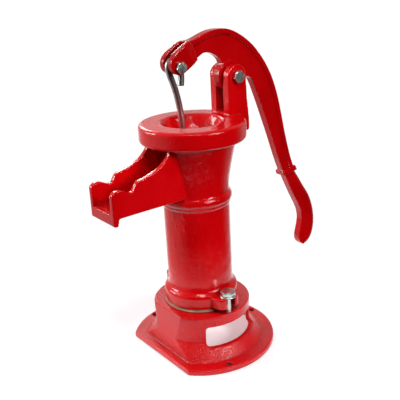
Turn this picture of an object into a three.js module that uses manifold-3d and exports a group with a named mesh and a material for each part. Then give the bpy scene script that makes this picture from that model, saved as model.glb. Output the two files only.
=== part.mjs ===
// Hand well pump: a cast-iron pitcher pump with a lever handle, an open spout
// and a footed base. Millimetres, +Z up. All dimensions below are measured
// from the cylinder's axis at floor level; the last line of the file moves the
// whole pump so that the middle of its footprint box is at the origin.
import * as THREE from 'three';
import { mergeVertices } from 'three/addons/utils/BufferGeometryUtils.js';
import Module from 'manifold-3d';

// ---------------------------------------------------------------- dimensions
const AXIS_OFFSET_X = -38.55;     // cylinder axis, from the middle of the box

const GAP = 0.3;                  // clearance where two pieces bear on each other
const SEG = 44;                   // facets round the large turned castings

// base casting
const FLANGE_R = 96, FLANGE_T = 7.5, FLANGE_FLAT_X = -73;
const PLATE_Z = 63.3, PLATE_R = 64.4, PLATE_T = 8.3;
const SKIRT_FOOT_R = 79.5, SKIRT_KNEE_R = 63.2, SKIRT_KNEE_Z = 28;
const WALL = 5.5;
const FLAT_TOP_X = -57, FLAT_FOOT_X = -62.5;
const WINDOW_Z0 = 21.5, WINDOW_Z1 = 49, WINDOW_A0 = 40, WINDOW_A1 = 123.5;
const FOOT_HOLE_R = 4.2, FOOT_HOLE_PCR = 87.7;
const INLET_BOSS_R = 27, INLET_BORE_R = 19.5, INLET_BOSS_Z = 36;
const SEAT_R = 16;
const BASE_BOLT_Y = 57, BASE_BOLT_R = 3.8, BASE_TAP_R = 4.15;

// leather gasket and foot valve
const LEATHER_T = 3.4, LEATHER_R = 49.5, LEATHER_RI = 30;
const FLAP_R = 25, FLAP_HINGE_X = 27.5;

// pump body
const BODY_Z0 = 67.3, BORE_R = 38.1, TUBE_R = 42.6;
const LUG_Z0 = 69.6, LUG_Z1 = 84, LUG_SLOT = 7;
const RIM_R = 60.3, RIM_Z0 = 285.3, RIM_Z1 = 295.6;

// spout
const SPOUT_HALF = 27, SPOUT_WALL = 7, SPOUT_X = -136.6;
const SPOUT_Z0 = 217.7, SPOUT_FLOOR = 222.9, LIP_Z0 = 209, LIP_T = 6;

// cap and yoke
const CAP_R = 67.2, CAP_Z0 = 282, CAP_Z1 = 305.3, CAP_RECESS_R = 61, CAP_MOUTH_R = 39;
const YOKE_IN = 6.5, YOKE_OUT = 18.4, PIVOT_X = 60, PIVOT_Z = 353, YOKE_R = 14.6;

// lever
const WEB = 5.6, RIM_HALF = 7.4, CLEVIS_HALF = 12.45, CLEVIS_SLOT = 4.7, COLLAR_HALF = 8.6;
const BOSS_R = 19, BOSS_HALF = 6.1;
const PIN_X = -21.5, PIN_Z = 374;

// piston rod and plunger
const ROD_R = 4, HOOK_R = 8.4;
const CUP_R = 37.7;

// ---------------------------------------------------------------- materials
const paint = (hex) => new THREE.MeshStandardMaterial({ color: hex, roughness: 0.22, metalness: 0.0 });
const steel = () => new THREE.MeshStandardMaterial({ color: 0xb9bbb6, roughness: 0.32, metalness: 1.0 });
const rodSteel = () => new THREE.MeshStandardMaterial({ color: 0x7b7d7c, roughness: 0.35, metalness: 1.0 });
const iron = () => new THREE.MeshStandardMaterial({ color: 0x4a4846, roughness: 0.6, metalness: 0.6 });
const leather = () => new THREE.MeshStandardMaterial({ color: 0xb08456, roughness: 0.8, metalness: 0.0 });

// ---------------------------------------------------------------- solid tools
const wasm = await Module();
wasm.setup();
const { Manifold, Mesh: MMesh } = wasm;

// closed mesh -> solid, with merged corners, no zero faces, faces out
function solid(geometry) {
  let g = geometry.clone();
  for (const k of Object.keys(g.attributes)) if (k !== 'position') g.deleteAttribute(k);
  if (!g.index) {
    const idx = new Uint32Array(g.attributes.position.count);
    for (let i = 0; i < idx.length; i++) idx[i] = i;
    g.setIndex(new THREE.BufferAttribute(idx, 1));
  }
  g = mergeVertices(g, 1e-3);
  const p = g.attributes.position.array, src = g.index.array, tri = [];
  for (let i = 0; i < src.length; i += 3) {
    const [a, b, c] = [src[i], src[i + 1], src[i + 2]];
    if (a !== b && b !== c && c !== a) tri.push(a, b, c);
  }
  let vol = 0;
  for (let i = 0; i < tri.length; i += 3) {
    const [a, b, c] = [tri[i] * 3, tri[i + 1] * 3, tri[i + 2] * 3];
    vol += p[a] * (p[b + 1] * p[c + 2] - p[b + 2] * p[c + 1])
         - p[a + 1] * (p[b] * p[c + 2] - p[b + 2] * p[c])
         + p[a + 2] * (p[b] * p[c + 1] - p[b + 1] * p[c]);
  }
  if (vol < 0) for (let i = 0; i < tri.length; i += 3) [tri[i + 1], tri[i + 2]] = [tri[i + 2], tri[i + 1]];
  return new Manifold(new MMesh({ numProp: 3, vertProperties: new Float32Array(p), triVerts: new Uint32Array(tri) }));
}
function geometryOf(m) {
  const mesh = m.getMesh();
  const n = mesh.vertProperties.length / mesh.numProp;
  const pos = new Float32Array(n * 3);
  for (let i = 0; i < n; i++) for (let k = 0; k < 3; k++) pos[i * 3 + k] = mesh.vertProperties[i * mesh.numProp + k];
  const g = new THREE.BufferGeometry();
  g.setAttribute('position', new THREE.BufferAttribute(pos, 3));
  g.setIndex(new THREE.BufferAttribute(new Uint32Array(mesh.triVerts), 1));
  g.computeVertexNormals();
  return g;
}
const join = (...list) => list.reduce((a, b) => a.add(b));
const cut = (a, ...list) => list.reduce((s, b) => s.subtract(b), a);

// turned solid about the Z axis; profile is [r, z] pairs, closed on itself or on the axis
function turned(profile, seg = SEG) {
  const pts = profile.map(([r, z]) => new THREE.Vector2(r, z));
  const onAxis = profile[0][0] === 0 && profile[profile.length - 1][0] === 0;
  if (!onAxis) pts.push(pts[0].clone());
  return solid(new THREE.LatheGeometry(pts, seg).rotateX(Math.PI / 2));
}
// prism along Z of an XY outline
function prismZ(outline, z0, z1) {
  const s = new THREE.Shape(outline.map(([x, y]) => new THREE.Vector2(x, y)));
  return solid(new THREE.ExtrudeGeometry(s, { depth: z1 - z0, bevelEnabled: false }).translate(0, 0, z0));
}
// prism along Y of an XZ outline
function prismY(outline, y0, y1) {
  const s = new THREE.Shape(outline.map(([x, z]) => new THREE.Vector2(x, z)));
  return solid(new THREE.ExtrudeGeometry(s, { depth: y1 - y0, bevelEnabled: false }).rotateX(Math.PI / 2).translate(0, y1, 0));
}
function box(x0, x1, y0, y1, z0, z1) {
  return solid(new THREE.BoxGeometry(x1 - x0, y1 - y0, z1 - z0).translate((x0 + x1) / 2, (y0 + y1) / 2, (z0 + z1) / 2));
}
function cylZ(r, x, y, z0, z1, seg = 24) {
  return solid(new THREE.CylinderGeometry(r, r, z1 - z0, seg).rotateX(Math.PI / 2).translate(x, y, (z0 + z1) / 2));
}
function cylY(r, x, z, y0, y1, seg = 24) {
  return solid(new THREE.CylinderGeometry(r, r, y1 - y0, seg).translate(x, (y0 + y1) / 2, z));
}
function cylX(r, y, z, x0, x1, seg = 24) {
  return solid(new THREE.CylinderGeometry(r, r, x1 - x0, seg).rotateZ(Math.PI / 2).translate((x0 + x1) / 2, y, z));
}
const moved = (m, x, y, z) => m.translate([x, y, z]);

// hexagon of the given width across flats, along Z from 0 to h, corners turned off at the ends given
function hex(af, h, chamferTop = true, chamferFoot = false) {
  const rc = af / Math.sqrt(3), c = 0.16 * af * 0.58;
  const prism = solid(new THREE.CylinderGeometry(rc, rc, h, 6).rotateX(Math.PI / 2).translate(0, 0, h / 2));
  const top = chamferTop ? [[rc + 0.4, h - c], [af / 2 - 0.3, h + 0.0]] : [[rc + 0.4, h]];
  const foot = chamferFoot ? [[af / 2 - 0.3, 0], [rc + 0.4, c]] : [[rc + 0.4, 0]];
  return prism.intersect(turned([[0, 0], ...foot, ...top, [0, h]], 12));
}
// hex-headed bolt along Z: underside of the head at z = 0, head upwards, shank downwards
function bolt(af, headH, shankR, length, seg = 14) {
  return join(hex(af, headH), turned([[0, -length], [shankR - 0.8, -length], [shankR, -length + 0.8], [shankR, 0.01], [0, 0.01]], seg));
}
function nut(af, h, holeR, seg = 14) {
  return cut(hex(af, h, true, true), cylZ(holeR, 0, 0, -1, h + 1, seg));
}
const Z_TO_MINUS_Y = [90, 0, 0];   // turns +Z to -Y
const Z_TO_PLUS_Y = [-90, 0, 0];   // turns +Z to +Y
const Z_TO_PLUS_X = [0, 90, 0];

// ---------------------------------------------------------------- assembly
const pump = new THREE.Group();
function piece(name, manifold, material) {
  const m = new THREE.Mesh(geometryOf(manifold), material);
  m.name = name;
  pump.add(m);
  return m;
}

// ------------------------------------------------------------------- 1. base
// D-shaped foot flange, hollow skirt with a cone at its foot, flat front face
const halfSpace = (topX, footX) => {
  const k = (topX - footX) / (PLATE_Z - FLANGE_T);
  const xAt = (z) => footX + k * (z - FLANGE_T);
  return prismY([[xAt(-20), -20], [200, -20], [200, 120], [xAt(120), 120]], -150, 150);
};
const flange = turned([[0, 0], [FLANGE_R - 0.8, 0], [FLANGE_R, 0.8], [FLANGE_R, FLANGE_T - 1.2], [FLANGE_R - 1.2, FLANGE_T], [0, FLANGE_T]], 64)
  .intersect(box(FLANGE_FLAT_X, 200, -150, 150, -5, 20));
const skirt = turned([[0, 2], [SKIRT_FOOT_R + 2.2, 5], [SKIRT_FOOT_R + 0.6, FLANGE_T], [SKIRT_FOOT_R - 1.6, FLANGE_T + 2.2], [SKIRT_KNEE_R + 1.0, SKIRT_KNEE_Z - 1.2],
  [SKIRT_KNEE_R, SKIRT_KNEE_Z + 0.8], [PLATE_R, PLATE_Z - 1.0], [PLATE_R - 1.0, PLATE_Z], [0, PLATE_Z]])
  .intersect(halfSpace(FLAT_TOP_X, FLAT_FOOT_X));
const hollow = turned([[0, -3], [79.8, -3], [75.2, 4.1], [58.7, 24.6], [58.5, 27], [58.5, PLATE_Z - PLATE_T - 2], [56.5, PLATE_Z - PLATE_T], [0, PLATE_Z - PLATE_T]])
  .intersect(halfSpace(FLAT_TOP_X + WALL, FLAT_FOOT_X + WALL));

// window through the side of the skirt: a rounded outline in (angle, height), driven out along the radius
function windowCutter(side) {
  const a0 = WINDOW_A0 * Math.PI / 180, a1 = WINDOW_A1 * Math.PI / 180, R = 64, r = 4.5;
  const L = (a1 - a0) * R, H = WINDOW_Z1 - WINDOW_Z0, out = [];
  const corner = (cx, cy, s) => { for (let i = 0; i <= 4; i++) { const t = s + i * Math.PI / 8; out.push([cx + r * Math.cos(t), cy + r * Math.sin(t)]); } };
  const straight = (xa, xb, y) => { const n = 14; for (let i = 1; i < n; i++) out.push([xa + (xb - xa) * i / n, y]); };
  corner(L - r, H - r, 0); straight(L - r, r, H); corner(r, H - r, Math.PI / 2);
  corner(r, r, Math.PI); straight(r, L - r, 0); corner(L - r, r, 1.5 * Math.PI);
  const g = new THREE.ExtrudeGeometry(new THREE.Shape(out.map(([x, y]) => new THREE.Vector2(x, y))), { depth: 1, steps: 1, bevelEnabled: false });
  const p = g.attributes.position;
  for (let i = 0; i < p.count; i++) {
    const a = a0 + p.getX(i) / R, rad = p.getZ(i) > 0.5 ? 96 : 52, z = WINDOW_Z0 + p.getY(i);
    p.setXYZ(i, rad * Math.cos(a), side * rad * Math.sin(a), z);
  }
  return solid(g);
}
const footHoles = [0, 106, -106].map((d) => {
  const a = d * Math.PI / 180;
  return cylZ(FOOT_HOLE_R, FOOT_HOLE_PCR * Math.cos(a), FOOT_HOLE_PCR * Math.sin(a), -3, 20, 16);
});
let base = join(flange, skirt);
base = cut(base, hollow);
base = join(base,
  turned([[0, INLET_BOSS_Z], [INLET_BOSS_R - 1, INLET_BOSS_Z], [INLET_BOSS_R, INLET_BOSS_Z + 1], [INLET_BOSS_R, PLATE_Z - PLATE_T - 3], [INLET_BOSS_R + 3, PLATE_Z - PLATE_T + 0.5], [0, PLATE_Z - PLATE_T + 0.5]], 32),
  ...[1, -1].map((s) => cylZ(9.6, 0, s * (BASE_BOLT_Y - 2.5), 50, PLATE_Z - 2, 20).intersect(turned([[0, 40], [61, 40], [61, 62], [0, 62]]))));
base = cut(base, windowCutter(1), windowCutter(-1), ...footHoles,
  // threaded inlet, shown as a bore with its ridges, below the valve seat
  turned([[0, 20], [INLET_BORE_R + 1.6, 20], [INLET_BORE_R + 1.6, INLET_BOSS_Z], ...[0, 1, 2, 3, 4].flatMap((i) => {
    const z = INLET_BOSS_Z + 0.6 + i * 2.6;
    return [[INLET_BORE_R + 0.9, z], [INLET_BORE_R, z + 1.3]];
  }), [INLET_BORE_R, PLATE_Z - PLATE_T - 3.5], [SEAT_R, PLATE_Z - PLATE_T - 0.5], [0, PLATE_Z - PLATE_T - 0.5]], 32),
  cylZ(SEAT_R, 0, 0, 40, 80, 32),
  cylZ(BASE_TAP_R, 0, BASE_BOLT_Y, 40, 80, 20), cylZ(BASE_TAP_R, 0, -BASE_BOLT_Y, 40, 80, 20));
piece('base', base, paint(0xbe0a0f));

// --------------------------------------------- 2. leather gasket, foot valve
const L0 = PLATE_Z + GAP, L1 = L0 + LEATHER_T;
piece('base_leather', turned([[LEATHER_RI, L0], [LEATHER_R, L0], [LEATHER_R, L1], [LEATHER_RI, L1]]), leather());

const flapOutline = [];
for (let i = 0; i <= 36; i++) {
  const a = (18 + i * 9) * Math.PI / 180;
  flapOutline.push([FLAP_R * Math.cos(a), FLAP_R * Math.sin(a)]);
}
const flap = cut(join(prismZ(flapOutline, L0, L1), box(15, FLAP_HINGE_X + 0.5, -6, 6, L0, L1)), cylZ(3.4, 0, 0, 50, 80, 20));
piece('valve_flap', flap, leather());
const weightZ = L1 + GAP;
piece('flap_weight', cut(turned([[0, weightZ], [17.4, weightZ], [18, weightZ + 0.6], [18, weightZ + 4.6], [16.6, weightZ + 6.2], [0, weightZ + 6.2]], 28), cylZ(3.4, 0, 0, 50, 90, 20)), iron());
piece('flap_washer', cut(turned([[0, L0 - GAP - 2.2], [13.2, L0 - GAP - 2.2], [13.2, L0 - GAP], [0, L0 - GAP]], 32), cylZ(3.4, 0, 0, 50, 80, 20)), steel());
piece('flap_screw', join(
  moved(hex(10, 4.2), 0, 0, weightZ + 6.2 + GAP),
  cylZ(3, 0, 0, 56.2, weightZ + 6.2 + GAP + 0.01, 20)), steel());

// --------------------------------------------------------------- 3. pump body
const bodyTurned = turned([
  [BORE_R, BODY_Z0], [48.7, BODY_Z0], [48.7, 82.5], [47.9, 84.8], [46.2, 86.4], [44.4, 88.0], [43.1, 90.6], [TUBE_R, 94.5],
  [TUBE_R, 199.0], [43.9, 200.2], [44.1, 203.2], [45.5, 205.2], [46.1, 208.2], [45.7, 211.2], [44.4, 213.8], [43.0, 216.2],
  [42.8, 220], [43.1, 226.5], [43.9, 233], [45.0, 239.5], [46.3, 246], [47.7, 252.6], [49.1, 259], [50.6, 265.5], [52.0, 271.2], [53.6, 277],
  [55.3, 281.6], [57.6, 284.4], [RIM_R, RIM_Z0], [RIM_R, RIM_Z1 - 1], [RIM_R - 1, RIM_Z1], [50.8, RIM_Z1], [49.8, RIM_Z1 - 1],
  [49.8, 285], [48.4, 276], [45.6, 262], [42.8, 249], [40.0, 237], [38.4, 228], [BORE_R, 222]]);

const wallTop = [[-136.6, 245.2], [-135.6, 247.4], [-132.9, 249.3], [-129.4, 250.6], [-126.0, 250.8], [-122.4, 250.0], [-118.8, 248.4], [-115.0, 246.6],
  [-111.4, 245.3], [-108.4, 245.4], [-106.4, 246.9], [-104.9, 249.6], [-103.2, 252.6], [-101.0, 254.7], [-97.6, 256.0], [-92.0, 257.3], [-85.8, 259.0],
  [-79.0, 261.0], [-72.5, 263.4], [-67.6, 265.8], [-63.0, 268.8], [-59.0, 272.2], [-55.6, 276.4], [-53.4, 281.0]];
const wallOutline = [[-34, SPOUT_Z0], [SPOUT_X, SPOUT_Z0], ...wallTop, [-30, 281]];
const sideWall = (s) => prismY(wallOutline, s > 0 ? SPOUT_HALF - SPOUT_WALL : -SPOUT_HALF, s > 0 ? SPOUT_HALF : SPOUT_WALL - SPOUT_HALF);
const spout = join(
  sideWall(1), sideWall(-1),
  box(SPOUT_X, -34, -SPOUT_HALF + 0.5, SPOUT_HALF - 0.5, SPOUT_Z0, SPOUT_FLOOR),
  prismY([[SPOUT_X, LIP_Z0 + 1], [SPOUT_X + 1, LIP_Z0], [SPOUT_X + LIP_T - 1, LIP_Z0], [SPOUT_X + LIP_T, LIP_Z0 + 1.5], [SPOUT_X + LIP_T + 2, SPOUT_Z0 + 0.5], [SPOUT_X, SPOUT_Z0 + 0.5]], -SPOUT_HALF, SPOUT_HALF));
const boreClear = turned([[0, 150], [BORE_R, 150], [BORE_R, 222], [38.4, 228], [40.0, 237], [42.8, 249], [45.6, 262], [48.4, 276], [49.8, 285], [0, 285]]);
const lugSide = [[18.8, 30], [18.6, 46], [18, 52], [16.4, 57.5], [13.6, 61.4], [9.8, 63.4], [0, 63.8]];
const lug = (s) => prismZ([...lugSide.map(([x, y]) => [x, s * y]), ...lugSide.slice(0, -1).reverse().map(([x, y]) => [-x, s * y])], LUG_Z0, LUG_Z1);
const slot = (s) => join(cylZ(LUG_SLOT, 0, s * BASE_BOLT_Y, 50, 100, 24), s > 0 ? box(-LUG_SLOT, LUG_SLOT, BASE_BOLT_Y, 80, 50, 100) : box(-LUG_SLOT, LUG_SLOT, -80, -BASE_BOLT_Y, 50, 100));
const lowerBore = turned([[0, 50], [BORE_R, 50], [BORE_R, 160], [0, 160]]);
let body = join(bodyTurned,
  cut(spout, boreClear),
  cut(join(lug(1), lug(-1)), lowerBore));
body = cut(body, slot(1), slot(-1),
  // flats turned on the lugs for the bolt heads
  cylZ(11.3, 0, BASE_BOLT_Y, LUG_Z1, 96, 32), cylZ(11.3, 0, -BASE_BOLT_Y, LUG_Z1, 96, 32),
  // the channel runs in through the neck
  prismY([[-140, SPOUT_FLOOR], [-25, SPOUT_FLOOR], [-25, 279.5], [-58, 279.5], [-140, 279.5]], -SPOUT_HALF + SPOUT_WALL, SPOUT_HALF - SPOUT_WALL));
piece('pump_body', body, paint(0xbc0a10));

// base bolts, screwed down through the open lug slots into the base plate
const baseBolt = join(
  moved(hex(17, 6.3), 0, 0, 1.5),
  turned([[0, 0], [9.9, 0], [10.5, 0.5], [10.5, 1.2], [9.4, 1.8], [0, 1.8]], 32),
  turned([[0, -34.3], [BASE_BOLT_R - 0.8, -34.3], [BASE_BOLT_R, -33.5], [BASE_BOLT_R, 0.01], [0, 0.01]], 16));
piece('base_bolt_near', baseBolt.rotate([0, 0, 12]).translate([0, -BASE_BOLT_Y, LUG_Z1 + GAP]), steel());
piece('base_bolt_far', baseBolt.rotate([0, 0, 40]).translate([0, BASE_BOLT_Y, LUG_Z1 + GAP]), steel());

// ------------------------------------------------------------- 4. cap and yoke
const capTurned = turned([
  [26, 281.2], [26, 283.4], [27.6, 285.8], [30.4, 289.4], [33.0, 293.4], [35.2, 297.6], [36.8, 301.2], [38.0, 303.6], [39.6, 305.0], [42.0, CAP_Z1],
  [63.2, CAP_Z1], [65.4, 304.4], [66.8, 302.8], [CAP_R, 300.8], [CAP_R, 286.0], [66.6, 284.0], [65.2, 282.6], [63.4, CAP_Z0], [CAP_RECESS_R, CAP_Z0],
  [CAP_RECESS_R, RIM_Z1 + GAP], [47.0, RIM_Z1 + GAP], [43.0, 293.6], [38.4, 289.4], [34.6, 284.6], [31.6, 281.2]]);
// one side of the yoke, seen from the side
const earOutline = [[45.4, 300], [45.4, PIVOT_Z]];
for (let i = 1; i <= 12; i++) {
  const a = (180 - i * 15) * Math.PI / 180;
  earOutline.push([PIVOT_X + YOKE_R * Math.cos(a), PIVOT_Z + YOKE_R * Math.sin(a)]);
}
earOutline.push([75.2, 335], [76.0, 321], [77.4, 308], [78.2, 297], [78.2, 284.5], [76.8, 282], [66, 282], [63, 284], [63, 300]);
const ears = join(prismY(earOutline, YOKE_IN, YOKE_OUT), prismY(earOutline, -YOKE_OUT, -YOKE_IN));
// pad behind the ring that carries the set screw, and the filled foot between the ears
const pad = join(
  prismY([[62, 283], [64, CAP_Z0], [76.8, CAP_Z0], [78.2, 284.5], [78.2, 297], [77.8, 303], [76.4, 308.6], [62, 308.6]], -YOKE_IN - 0.2, YOKE_IN + 0.2),
  prismY([[46.6, 300], [46.6, 306.6], [49, 308.6], [64, 308.6], [64, 300]], -YOKE_IN - 0.2, YOKE_IN + 0.2));
let cap = join(capTurned, ears, pad);
const recess = turned([[0, 270], [CAP_RECESS_R, 270], [CAP_RECESS_R, RIM_Z1 + GAP], [0, RIM_Z1 + GAP]]).subtract(turned([[0, 270], [48, 270], [48, 300], [0, 300]]));
cap = cut(cap, recess,
  cylY(5.3, PIVOT_X, PIVOT_Z, -30, 30, 24),
  cylX(4.3, 0, 290, 55, 90, 20));
piece('cap', cap, paint(0xc00a10));
piece('cap_set_screw', moved(join(hex(11, 6), cylZ(4, 0, 0, -16.9, 0.01, 20)).rotate(Z_TO_PLUS_X), 78.2 + 0.8, 0, 290), steel());

// fulcrum bolt through both sides of the yoke and the lever's boss, with its nut
piece('fulcrum_bolt', bolt(14.2, 5.6, 5, 50, 16).rotate([0, 0, 20]).rotate(Z_TO_MINUS_Y).translate([PIVOT_X, -YOKE_OUT - GAP, PIVOT_Z]), steel());
piece('fulcrum_nut', nut(14.2, 8.2, 5.3, 14).rotate([0, 0, 8]).rotate(Z_TO_PLUS_Y).translate([PIVOT_X, YOKE_OUT + GAP, PIVOT_Z]), steel());

// ------------------------------------------------------------------- 5. lever
const leverOuter = [[-3.5, 402.2], [3.0, 402.6], [9.9, 404.4], [17.6, 407.0], [25.4, 409.4], [33.2, 411.0], [41.0, 411.8], [48.5, 411.8], [56.0, 410.7], [64.0, 408.2], [72.0, 404.5],
  [80.0, 400.0], [88.0, 394.6], [96.3, 387.8], [104.6, 379.5], [112.9, 369.7], [121.0, 358.0], [128.0, 345.8], [133.6, 333.2], [138.0, 320.8], [143.0, 303.6],
  [148.0, 282.6], [151.8, 266.0], [155.8, 249.8], [161.0, 231.4], [166.1, 216.6], [170.2, 207.6], [175.6, 198.6]];
const gripOuter = [[182.8, 188.0], [188.6, 178.8], [194.0, 170.8], [199.6, 162.8], [205.6, 151.6], [210.0, 139.6], [212.8, 127.0], [213.7, 114.4], [212.0, 101.4], [207.8, 91.0], [201.0, 84.2], [192.6, 81.6],
  [185.8, 85.0], [181.8, 91.6], [181.0, 98.2], [183.0, 106.4], [185.9, 117.0], [186.8, 126.6], [185.0, 136.4], [180.2, 147.6], [173.6, 159.4], [164.0, 177.8], [156.2, 194.0]];
const leverInner = [[150.8, 203.6], [144.9, 216.8], [136.6, 239.0], [126.9, 265.6], [118.3, 288.4], [110.0, 310.2], [105.0, 322.4], [101.6, 330.4], [98.6, 337.2], [94.8, 343.6], [90.0, 347.4], [84.2, 348.0], [78.6, 345.2]];
const bossArc = [];
for (let i = 0; i <= 9; i++) {
  const a = (-40 - i * 20.5) * Math.PI / 180;
  bossArc.push([PIVOT_X + BOSS_R * Math.cos(a), PIVOT_Z + BOSS_R * Math.sin(a)]);
}
const hookArc = [[47.8, 369.8], [45.4, 374.4], [39.6, 379.6], [33.2, 383.0], [27.6, 385.0], [22.6, 385.6], [17.6, 384.6], [12.6, 382.0], [7.4, 379.2]];
const clevisNose = [[-14.9, 366.6], [-18.2, 365.3], [-22.3, 365.0], [-26.6, 366.3], [-30.3, 369.3], [-32.6, 373.4], [-33.3, 378.0], [-32.4, 382.4], [-29.4, 387.0], [-23.2, 392.4], [-15.0, 397.1], [-9.0, 400.4]];
const leverOutline = [...leverOuter, ...gripOuter, ...leverInner, ...bossArc, ...hookArc, ...clevisNose];
// outer rim: a band standing proud of the web on both sides
const rimInner = leverOuter.map(([x, z], i, a) => {
  const p = a[Math.max(i - 1, 0)], q = a[Math.min(i + 1, a.length - 1)];
  const dx = q[0] - p[0], dz = q[1] - p[1], l = Math.hypot(dx, dz);
  return [x + 6.2 * dz / l, z - 6.2 * dx / l];
});
const rimEnd = leverOuter.length - 2;
const rimBand = [...leverOuter.slice(0, rimEnd), ...rimInner.slice(0, rimEnd).reverse()];
const clevisBlock = [[-3.5, 402.2], [1.6, 396.4], [5.2, 388.0], [7.4, 379.2], ...clevisNose];
const collarBand = [[149.4, 199.2], [147.4, 205.8], [171.4, 210.8], [174.6, 203.8]];
const dir = [Math.cos(29.5 * Math.PI / 180), Math.sin(29.5 * Math.PI / 180)];
const along = (s, t) => [PIN_X + s * dir[0] - t * dir[1], PIN_Z + s * dir[1] + t * dir[0]];
const slotOutline = [along(-30, -30), along(21, -30), along(24.6, -12), along(26.8, 3), along(26.4, 22), along(20, 40), along(-30, 40)];
let lever = join(
  prismY(leverOutline, -WEB, WEB),
  prismY(rimBand, -RIM_HALF, RIM_HALF),
  cylY(BOSS_R, PIVOT_X, PIVOT_Z, -BOSS_HALF, BOSS_HALF, 36),
  prismY(collarBand, -COLLAR_HALF, COLLAR_HALF),
  prismY(clevisBlock, -CLEVIS_HALF, CLEVIS_HALF));
lever = cut(lever,
  prismY(slotOutline, -CLEVIS_SLOT, CLEVIS_SLOT),
  cylY(5.4, PIVOT_X, PIVOT_Z, -30, 30, 24),
  cylY(4.3, PIN_X, PIN_Z, -30, 30, 20));
piece('lever', lever, paint(0xa9080d));

piece('rod_bolt', bolt(12.6, 4.9, 3.95, 33, 14).rotate([0, 0, 10]).rotate(Z_TO_MINUS_Y).translate([PIN_X, -CLEVIS_HALF - GAP, PIN_Z]), steel());
piece('rod_nut', nut(12.6, 6.4, 4.3, 14).rotate([0, 0, 22]).rotate(Z_TO_PLUS_Y).translate([PIN_X, CLEVIS_HALF + GAP, PIN_Z]), steel());

// ------------------------------------------------------------- 6. piston rod
// round rod, hooked over the rod bolt with a short leg, joggled back to the cylinder's axis below the cap
const rodPath = [[-13.4, 350.2], [-12.4, 356.2], [-12.0, 362.0], [-12.4, 368.0], [-13.1, 374.0]];
for (let i = 1; i <= 5; i++) rodPath.push([PIN_X + HOOK_R * Math.cos(i * Math.PI / 6), PIN_Z + HOOK_R * Math.sin(i * Math.PI / 6)]);
rodPath.push([-29.9, 374.0], [-29.1, 368.0], [-27.3, 362.3], [-24.6, 355.0], [-21.7, 346.2], [-18.7, 333.8], [-16.5, 321.2], [-15.1, 311.0], [-14.5, 302.0], [-14.2, 292.0], [-13.0, 279.0],
  [-10.2, 264.5], [-5.8, 250.0], [-2.2, 239.5], [-0.5, 232.5], [0, 226.0], [0, 216.0], [0, 205.0], [0, 195.0]);
const rodCurve = new THREE.CatmullRomCurve3(rodPath.map(([x, z]) => new THREE.Vector3(x, 0, z)), false, 'centripetal');
const section = new THREE.Shape();
for (let i = 0; i < 10; i++) {
  const a = i * Math.PI / 5 + Math.PI / 10, r = ROD_R;
  if (i === 0) section.moveTo(r * Math.cos(a), r * Math.sin(a)); else section.lineTo(r * Math.cos(a), r * Math.sin(a));
}
section.closePath();
piece('piston_rod', solid(new THREE.ExtrudeGeometry(section, { steps: 52, extrudePath: rodCurve, bevelEnabled: false })), rodSteel());

const HUB_Z0 = 206, HUB_Z1 = 214, PLAY = 2.3;
const washer = (z) => cut(turned([[0, z], [14, z], [14, z + 2], [0, z + 2]], 24), cylZ(ROD_R + GAP, 0, 0, z - 5, z + 8, 14));
piece('rod_upper_washer', washer(HUB_Z1 + PLAY), steel());
piece('rod_upper_nut', moved(nut(13, 6.2, ROD_R + GAP, 14), 0, 0, HUB_Z1 + PLAY + 2 + GAP), steel());
piece('rod_lower_washer', washer(HUB_Z0 - PLAY - 2), steel());
piece('rod_lower_nut', moved(nut(13, 5.6, ROD_R + GAP, 14), 0, 0, HUB_Z0 - PLAY - 2 - GAP - 5.6), steel());

// ---------------------------------------------------------------- 7. plunger
const legs = [45, 135, 225, 315].map((d) => box(20.5, 29.5, -3.5, 3.5, 187, HUB_Z1).rotate([0, 0, d]));
const arms = [45, 135].map((d) => box(-29.5, 29.5, -4.5, 4.5, HUB_Z0, HUB_Z1).rotate([0, 0, d]));
let cage = join(
  turned([[16.7, 177.7], [33.6, 177.7], [33.6, 186], [31.6, 188], [19, 188], [19, 183.3], [16.7, 183.3]], 36),
  ...legs, ...arms, cylZ(16.5, 0, 0, HUB_Z0, HUB_Z1, 32));
cage = cut(cage, cylZ(9.6, 0, 0, 200, 220, 28));
piece('plunger_cage', cage, iron());
piece('cup_leather', turned([[16.8, 174.0], [35.4, 174.0], [37.0, 174.8], [CUP_R, 176.4], [CUP_R, 193.2], [36.4, 193.2], [34.4, 191.2], [34.2, 178.4], [33.4, 177.4], [16.8, 177.4]], SEG), leather());
piece('plunger_follower', turned([[12, 166], [32.6, 166], [34, 167.4], [34, 172.6], [33, 173.7], [16.4, 173.7], [16.4, 183.0], [12, 183.0]], 36), iron());
piece('plunger_valve', join(
  turned([[0, 183.3], [17.3, 183.3], [17.8, 183.8], [17.8, 186.2], [16.8, 187.0], [4, 187.0], [3.4, 188.6], [0, 188.8]], 36),
  box(-11.4, 11.4, -1.4, 1.4, 174.5, 183.4), box(-1.4, 1.4, -11.4, 11.4, 174.5, 183.4)), iron());

pump.position.x = AXIS_OFFSET_X;
export default pump;
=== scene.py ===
import math

import bmesh
import bpy
import numpy as np
from mathutils import Matrix, Vector


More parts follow.
